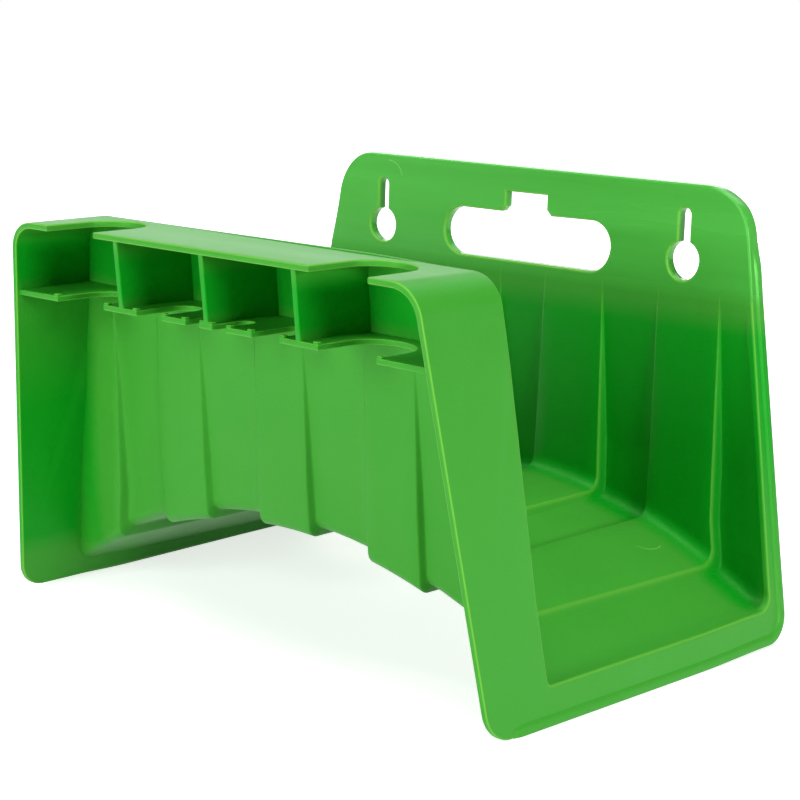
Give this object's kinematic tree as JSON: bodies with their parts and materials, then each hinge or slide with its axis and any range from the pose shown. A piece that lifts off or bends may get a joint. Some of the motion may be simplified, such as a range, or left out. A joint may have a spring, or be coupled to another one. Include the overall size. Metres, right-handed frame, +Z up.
{
  "type": "wall hose hanger",
  "caption": "One-piece plastic wall hanger for a garden hose: banded wall plate, arched saddle and leaning front wall with a notched two-level tray for nozzles and hand tools.",
  "frame": {"origin": "under the middle of the part, at the height of its feet: the centre of the bounding box's bottom face", "axes": "+Z up, +Y towards the wall, +X to the right of somebody who faces the wall"},
  "size_m": [0.2754, 0.1952, 0.1808],
  "materials": {
    "green_plastic": "satin, with a fine grain in the banded areas and a glossier flat zone round the wall holes"
  },
  "bodies": {
    "root": {"back_plate": "green_plastic", "plate_rim": "green_plastic", "saddle": "green_plastic", "front_wall": "green_plastic", "side_frame_left": "green_plastic", "side_frame_right": "green_plastic", "top_shelf": "green_plastic", "lower_shelf": "green_plastic", "partition_left": "green_plastic", "partition_centre": "green_plastic", "partition_right": "green_plastic"}
  },
  "joints": []
}
